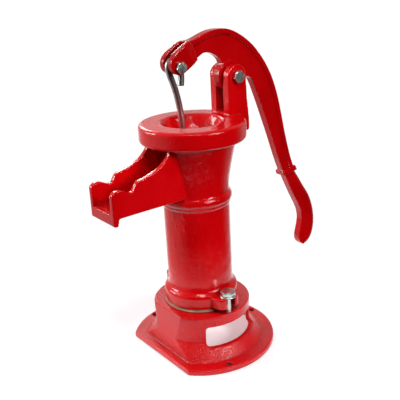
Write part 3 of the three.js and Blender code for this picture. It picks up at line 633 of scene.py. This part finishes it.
# the grip's outer edge is drawn in, so each side shows a flat panel beside a sloping border
full = spline(outer + grip + inner, 4)
grip_line = spline([(170.2, 207.6), (175.6, 198.6)] + grip, 4)
thin = []
for i, (x, z) in enumerate(grip_line):
    p, q = grip_line[max(i - 1, 0)], grip_line[min(i + 1, len(grip_line) - 1)]
    dx, dz = q[0] - p[0], q[1] - p[1]
    l = math.hypot(dx, dz)
    thin.append((x + 4.6 * dz / l, z - 4.6 * dx / l))
k_end = max(range(len(grip_line)), key=lambda i: -grip_line[i][1])
border = [(x, z) for x, z in grip_line[:k_end + 1]]
inset = thin[:k_end + 1]
shave = []
for s in (1, -1):
    n = len(border)
    a = [(x + 0.6 * (x - u), s * 2.6, z + 0.6 * (z - w)) for (x, z), (u, w) in zip(border, inset)]
    b = [(u, s * 5.6, w) for u, w in inset]
    c = [(x + 0.6 * (x - u), s * 9.0, z + 0.6 * (z - w)) for (x, z), (u, w) in zip(border, inset)]
    faces = [[0, n, 2 * n], [n - 1, 3 * n - 1, 2 * n - 1]]
    for i in range(n - 1):
        faces += [[i, i + 1, n + i + 1, n + i], [n + i, n + i + 1, 2 * n + i + 1, 2 * n + i], [2 * n + i, 2 * n + i + 1, i + 1, i]]
    shave.append(mesh_object("shave", a + b + c, faces))
lever = join(cut(prism(outline, -5.6, 5.6), *shave), prism(band, -7.1, 7.1), cyl(19, (60, 353), -6.1, 6.1, "y", 96), prism(collar, -8.6, 8.6), cheeks)
lever = cut(lever, prism(slot_line, -4.7, 4.7), cyl(5.4, (60, 353), -30, 30, "y"), cyl(4.3, (-21.5, 374), -30, 30, "y"))
cast(lever, 0.8, 3, 0.11, 9.0)
place(lever, "handle_lever", "lever", "lever", RED_LEVER)


# --------------------------------------------------------------------------
# 5. bolts, nuts and washers
# --------------------------------------------------------------------------
def hexagon(af, h, top=True, foot=False):
    rc, c = af / math.sqrt(3), 0.065 * af
    prof = [(0, 0)]
    prof += [(af / 2 - 0.3, 0), (rc + 0.4, c)] if foot else [(rc + 0.4, 0)]
    prof += [(rc + 0.4, h - c), (af / 2 - 0.3, h)] if top else [(rc + 0.4, h)]
    prof += [(0, h)]
    return keep(cyl(rc, (0, 0), 0, h, "z", 6), turned(prof, 96))


def threaded(r, z0, z1, pitch, chamfer=True, seg=40):
    """A bar with a real helical thread from z0 up to z1."""
    rows = max(int((z1 - z0) / pitch * 10), 4)
    depth = 0.54 * pitch
    verts, faces = [], []
    for k in range(rows + 1):
        z = z0 + (z1 - z0) * k / rows
        for i in range(seg):
            t = (z / pitch - i / seg) % 1.0
            rr = r - depth * min(1.0, max(0.0, (1 - abs(2 * t - 1)) * 1.35 - 0.15))
            if chamfer:
                rr = min(rr, r - depth + (z - z0) * 0.9 + 0.1)
            verts.append((rr * math.cos(2 * math.pi * i / seg), rr * math.sin(2 * math.pi * i / seg), z))
    for k in range(rows):
        for i in range(seg):
            j = (i + 1) % seg
            faces.append([k * seg + i, k * seg + j, (k + 1) * seg + j, (k + 1) * seg + i])
    faces += [list(range(seg))[::-1], [rows * seg + i for i in range(seg)]]
    return mesh_object("h", verts, faces)


def smooth_sharp(ob, angle=38):
    ob.data.polygons.foreach_set("use_smooth", np.ones(len(ob.data.polygons), bool))
    ob.data.set_sharp_from_angle(angle=math.radians(angle))
    return ob


def fused(name, *obs):
    """Separate closed shells of one fastener kept in one object."""
    bm = bmesh.new()
    for o in obs:
        bm.from_mesh(o.data)
        bpy.data.objects.remove(o)
    me = bpy.data.meshes.new(name)
    bm.to_mesh(me)
    bm.free()
    ob = bpy.data.objects.new(name, me)
    bpy.context.scene.collection.objects.link(ob)
    return ob


def bolt(af, head, r, length, pitch, thread):
    h = crisp(hexagon(af, head), 0.35)
    plain = smooth_sharp(turned([(0, -(length - thread)), (r, -(length - thread)), (r, 0.2), (0, 0.2)], 48))
    t = smooth_sharp(threaded(r, -length, -(length - thread) + 0.2, pitch), 70)
    return fused("bolt", h, plain, t)


def nut(af, h, r):
    return crisp(cut(hexagon(af, h, True, True), turned([(0, -1), (r + 1.0, -1), (r + 1.0, 0), (r, 1.0), (r, h - 1.0), (r + 1.0, h), (r + 1.0, h + 1), (0, h + 1)], 48)), 0.3)


def washer(z, r0=4.3, r1=14.0, t=2.0):
    return crisp(turned([(r0, z), (r1, z), (r1, z + t), (r0, z + t)], 96), 0.25, 2)


def turn(ob, mat):
    ob.data.transform(mat)
    return ob


RX, RZ, RY = (lambda d: Matrix.Rotation(math.radians(d), 4, "X")), (lambda d: Matrix.Rotation(math.radians(d), 4, "Z")), (lambda d: Matrix.Rotation(math.radians(d), 4, "Y"))
T = lambda x, y, z: Matrix.Translation((x, y, z))
def flanged(thread=20):
    h = crisp(turn(hexagon(17, 6.0), T(0, 0, 1.8)), 0.3)
    fl = smooth_sharp(turned([(0, 0), (9.9, 0), (10.4, 0.35), (10.5, 0.8), (10.3, 1.3), (9.6, 1.55), (8.7, 1.85), (0, 1.85)], 96), 50)
    sh = smooth_sharp(turned([(0, -20), (3.75, -20), (3.75, 0.2), (0, 0.2)], 48))
    return fused("bolt", h, fl, sh, smooth_sharp(threaded(3.75, -34, -19.8, 1.25), 70))


place(turn(flanged(), T(0, -57, 84.3) @ RZ(12)), "base_bolt_near_fine", "base_bolt_near", "body", ZINC)
place(turn(flanged(), T(0, 57, 84.3) @ RZ(40)), "base_bolt_far_fine", "base_bolt_far", "body", ZINC)
place(turn(bolt(14.2, 5.6, 5.0, 50, 1.5, 14), T(60, -18.7, 353) @ RX(90) @ RZ(12)), "fulcrum_bolt_fine", "fulcrum_bolt", "cap", ZINC)
place(turn(nut(14.2, 8.2, 5.25), T(60, 18.7, 353) @ RX(-90) @ RZ(8)), "fulcrum_nut_fine", "fulcrum_nut", "cap", ZINC)
place(turn(bolt(12.6, 4.9, 3.95, 33, 1.25, 9), T(-21.5, -12.75, 374) @ RX(90) @ RZ(10)), "rod_bolt_fine", "rod_bolt", "lever", ZINC)
place(turn(nut(12.6, 6.4, 4.2), T(-21.5, 12.75, 374) @ RX(-90) @ RZ(22)), "rod_nut_fine", "rod_nut", "lever", ZINC)
place(turn(fused("s", crisp(hexagon(11, 6), 0.3), smooth_sharp(threaded(4, -16.9, 0.2, 1.25), 70)), T(79.0, 0, 290) @ RY(90)), "cap_set_screw_fine", "cap_set_screw", "cap", ZINC)
place(washer(216.3), "rod_upper_washer_fine", "rod_upper_washer", "rod", ZINC)
place(turn(nut(13, 6.2, 4.2), T(0, 0, 218.6)), "rod_upper_nut_fine", "rod_upper_nut", "rod", ZINC)
place(washer(201.7), "rod_lower_washer_fine", "rod_lower_washer", "rod", ZINC)
place(turn(nut(13, 5.6, 4.2), T(0, 0, 195.8)), "rod_lower_nut_fine", "rod_lower_nut", "rod", ZINC)

# --------------------------------------------------------------------------
# 6. piston rod
# --------------------------------------------------------------------------
path = [(-13.4, 350.2), (-12.4, 356.2), (-12.0, 362.0), (-12.4, 368.0), (-13.1, 374.0)]
path += [(-21.5 + 8.4 * math.cos(i * math.pi / 6), 374 + 8.4 * math.sin(i * math.pi / 6)) for i in range(1, 6)]
path += [(-29.9, 374.0), (-29.1, 368.0), (-27.3, 362.3), (-24.6, 355.0), (-21.7, 346.2), (-18.7, 333.8), (-16.5, 321.2), (-15.1, 311.0), (-14.5, 302.0), (-14.2, 292.0), (-13.0, 279.0),
         (-10.2, 264.5), (-5.8, 250.0), (-2.2, 239.5), (-0.5, 232.5), (0, 226.0), (0, 216.0), (0, 205.0), (0, 195.0)]
line = spline(path, 10)
verts, faces, seg = [], [], 40
n = len(line)
for k, (x, z) in enumerate(line):
    p, q = line[max(k - 1, 0)], line[min(k + 1, n - 1)]
    d = np.array([q[0] - p[0], 0, q[1] - p[1]])
    d /= np.linalg.norm(d)
    side = np.array([d[2], 0, -d[0]])
    up = np.array([0, 1.0, 0])
    r = 3.9 if 0 < k < n - 1 else 3.45
    for i in range(seg):
        a = 2 * math.pi * i / seg
        v = np.array([x, 0, z]) + r * (math.cos(a) * side + math.sin(a) * up)
        verts.append(v)
for k in range(n - 1):
    for i in range(seg):
        j = (i + 1) % seg
        faces.append([k * seg + i, k * seg + j, (k + 1) * seg + j, (k + 1) * seg + i])
faces += [list(range(seg))[::-1], [(n - 1) * seg + i for i in range(seg)]]
rod = smooth_sharp(mesh_object("rod", verts, faces), 40)
place(rod, "hooked_rod", "piston_rod", "rod", ROD)

# --------------------------------------------------------------------------
# 7. leathers, foot valve and plunger
# --------------------------------------------------------------------------
def worn(ob, voxel, rounds, amp, wave, seed):
    r = ob.modifiers.new("r", "REMESH")
    r.mode, r.voxel_size = "VOXEL", voxel
    s = ob.modifiers.new("s", "SMOOTH")
    s.factor, s.iterations = 0.5, rounds
    bpy.context.view_layer.update()
    bake(ob)
    me = ob.data
    co, no = coords(me), normals(me)
    co = co + no * (amp * noise(co, wave, seed) + 0.4 * amp * noise(co, wave * 0.4, seed + 1))[:, None]
    me.vertices.foreach_set("co", co.ravel())
    me.update()
    me.polygons.foreach_set("use_smooth", np.ones(len(me.polygons), bool))
    return ob


place(worn(turned([(30, 63.6), (48.9, 63.6), (49.2, 64.2), (48.9, 64.9), (47.2, 65.4), (46.4, 67.0), (30, 67.0)], 192), 0.5, 1, 0.10, 5.0, 3), "gasket_leather", "base_leather", "body", HIDE)
flap = [(25 * math.cos(math.radians(18 + i * 4.5)), 25 * math.sin(math.radians(18 + i * 4.5))) for i in range(73)]
flap = cut(join(prism(flap, 63.6, 67.0, "z"), box(15, 28, -6, 6, 63.6, 67.0)), cyl(3.4, (0, 0), 50, 80))
place(worn(flap, 0.7, 2, 0.12, 6.0, 5), "flap_leather", "valve_flap", "foot_valve", HIDE)
w = cut(turned([(0, 67.3), (17.4, 67.3), (18, 67.9), (18, 71.9), (16.6, 73.5), (0, 73.5)], 96), cyl(3.4, (0, 0), 50, 90))
place(worn(w, 0.6, 2, 0.12, 4.0, 7), "flap_weight_casting", "flap_weight", "foot_valve", IRON)
place(washer(61.1, 3.4, 13.2, 2.2), "flap_washer_fine", "flap_washer", "foot_valve", ZINC)
place(turn(fused("s", crisp(hexagon(10, 4.2), 0.3), smooth_sharp(threaded(3, -17.6, 0.2, 1.0), 70)), T(0, 0, 73.8)), "flap_screw_fine", "flap_screw", "foot_valve", ZINC)

cage = turned([(16.7, 177.7), (33.6, 177.7), (33.6, 186), (31.6, 188), (19, 188), (19, 183.3), (16.7, 183.3)], 128)
parts = []
for d in (45, 135, 225, 315):
    parts.append(turn(box(20.5, 29.5, -3.5, 3.5, 187, 214), RZ(d)))
for d in (45, 135):
    parts.append(turn(box(-29.5, 29.5, -4.5, 4.5, 206, 214), RZ(d)))
cage = cut(join(cage, *parts, cyl(16.5, (0, 0), 206, 214)), cyl(9.6, (0, 0), 200, 220))
place(cast(cage, 0.8, 3, 0.10, 14.0), "plunger_cage_casting", "plunger_cage", "plunger", IRON)
cup = turned([(16.8, 174.0), (35.4, 174.0), (37.0, 174.8), (37.6, 176.4), (37.6, 193.2), (36.4, 193.2), (34.4, 191.2), (34.2, 178.4), (33.4, 177.4), (16.8, 177.4)], 192)
place(worn(cup, 0.8, 2, 0.08, 6.0, 9), "cup_leather_fine", "cup_leather", "plunger", HIDE)
fol = turned([(12, 166), (32.6, 166), (34, 167.4), (34, 172.6), (33, 173.7), (16.4, 173.7), (16.4, 183.0), (12, 183.0)], 128)
place(worn(fol, 0.8, 2, 0.08, 5.0, 11), "plunger_follower_casting", "plunger_follower", "plunger", IRON)
pop = join(turned([(0, 183.3), (17.3, 183.3), (17.8, 183.8), (17.8, 186.2), (16.8, 187.0), (4, 187.0), (3.4, 188.6), (0, 188.8)], 96),
           box(-11.4, 11.4, -1.4, 1.4, 174.5, 183.4), box(-1.4, 1.4, -11.4, 11.4, 174.5, 183.4))
place(worn(pop, 0.6, 2, 0.06, 4.0, 13), "plunger_valve_casting", "plunger_valve", "plunger_valve", IRON)

# --------------------------------------------------------------------------
# floor and light
# --------------------------------------------------------------------------
R_TABLE = 0.25
ring = [(R_TABLE * math.cos(2 * math.pi * i / 256) + AXIS.x, R_TABLE * math.sin(2 * math.pi * i / 256), 0.0) for i in range(256)]
floor = mesh_object("floor", ring, [list(range(256))])
fm = Nodes("floor")
fc = fm.ramp(fm.noise(3, 3, 0.5), [(0.3, (0.80, 0.80, 0.81)), (0.7, (0.84, 0.84, 0.845))])
fm.set(Base_Color=fc, Roughness=0.8)
fm.bsdf.inputs["Specular IOR Level"].default_value = 0.1
# painted light: the floor glows with its own emission, which washes out the shadows on it and lights the part from
# below
fm.bsdf.inputs["Emission Color"].default_value = (0.97, 0.97, 1.0, 1.0)
fm.bsdf.inputs["Emission Strength"].default_value = 0.40
floor.data.materials.append(fm.mat)

world = bpy.data.worlds.new("studio")
bpy.context.scene.world = world
world.use_nodes = True
wt = world.node_tree
wt.nodes.clear()


def wnode(kind, **sets):
    n = wt.nodes.new(kind)
    for k, v in sets.items():
        setattr(n, k, v)
    return n


def toward(direction, lo, hi, out_lo, out_hi):
    """A soft step on how far a direction of the sky lies from the one given."""
    d = wnode("ShaderNodeVectorMath", operation="DOT_PRODUCT")
    d.inputs[1].default_value = Vector(direction).normalized()
    wt.links.new(wtc.outputs["Generated"], d.inputs[0])
    r = wnode("ShaderNodeMapRange", interpolation_type="SMOOTHSTEP")
    for k, v in (("From Min", lo), ("From Max", hi), ("To Min", out_lo), ("To Max", out_hi)):
        r.inputs[k].default_value = v
    wt.links.new(d.outputs["Value"], r.inputs["Value"])
    return r.outputs["Result"]


def wmath(op, a, b):
    n = wnode("ShaderNodeMath", operation=op)
    for s_, v in zip(n.inputs, (a, b)):
        if hasattr(v, "is_output"):
            wt.links.new(v, s_)
        else:
            s_.default_value = v
    return n.outputs[0]


wtc = wnode("ShaderNodeTexCoord")
room = wmath("MULTIPLY", toward((-0.05, -0.99, -0.10), -0.35, 0.45, 0.52, 0.0), toward((0, 0, 1), 0.0, 0.9, 1.0, 0.75))
backdrop = toward((0.5577, 0.7573, -0.3397), 0.845, 0.90, 0.0, 1.04)
bg = wnode("ShaderNodeBackground")
seen = wmath("MULTIPLY", wnode("ShaderNodeLightPath").outputs["Is Camera Ray"], 1.04)  # the same pale backdrop from every side
wt.links.new(wmath("MAXIMUM", wmath("MAXIMUM", room, backdrop), seen), bg.inputs["Strength"])
bg.inputs["Color"].default_value = (1.0, 1.0, 1.0, 1.0)
wo = wnode("ShaderNodeOutputWorld")
wt.links.new(bg.outputs[0], wo.inputs[0])


def softbox(name, at, aim, size, power, color=(1, 1, 1)):
    li = bpy.data.lights.new(name, "AREA")
    li.shape, li.size, li.size_y = "RECTANGLE", size[0], size[1]
    li.energy, li.color = power, color
    ob = bpy.data.objects.new(name, li)
    bpy.context.scene.collection.objects.link(ob)
    ob.location = Vector(at)
    ob.rotation_mode = "QUATERNION"
    ob.rotation_quaternion = (Vector(aim) - Vector(at)).to_track_quat("-Z", "Y")
    return ob


AIM = (0, 0, 0.22)
softbox("key", (-0.98, 0.94, 0.70), AIM, (0.30, 0.55), 12)
softbox("front", (-0.45, -0.62, 1.40), (0, 0, 0.05), (0.24, 0.24), 6.5)
softbox("fill", (0.35, -1.60, 0.95), AIM, (0.45, 0.45), 19)
softbox("back", (0.30, 1.25, 0.90), (0, 0, 0.30), (0.35, 0.35), 5)

sc = bpy.context.scene
sc.view_settings.view_transform = "Standard"
sc.view_settings.look = "None"
sc.view_settings.exposure = 0.0
sc.view_settings.gamma = 1.0
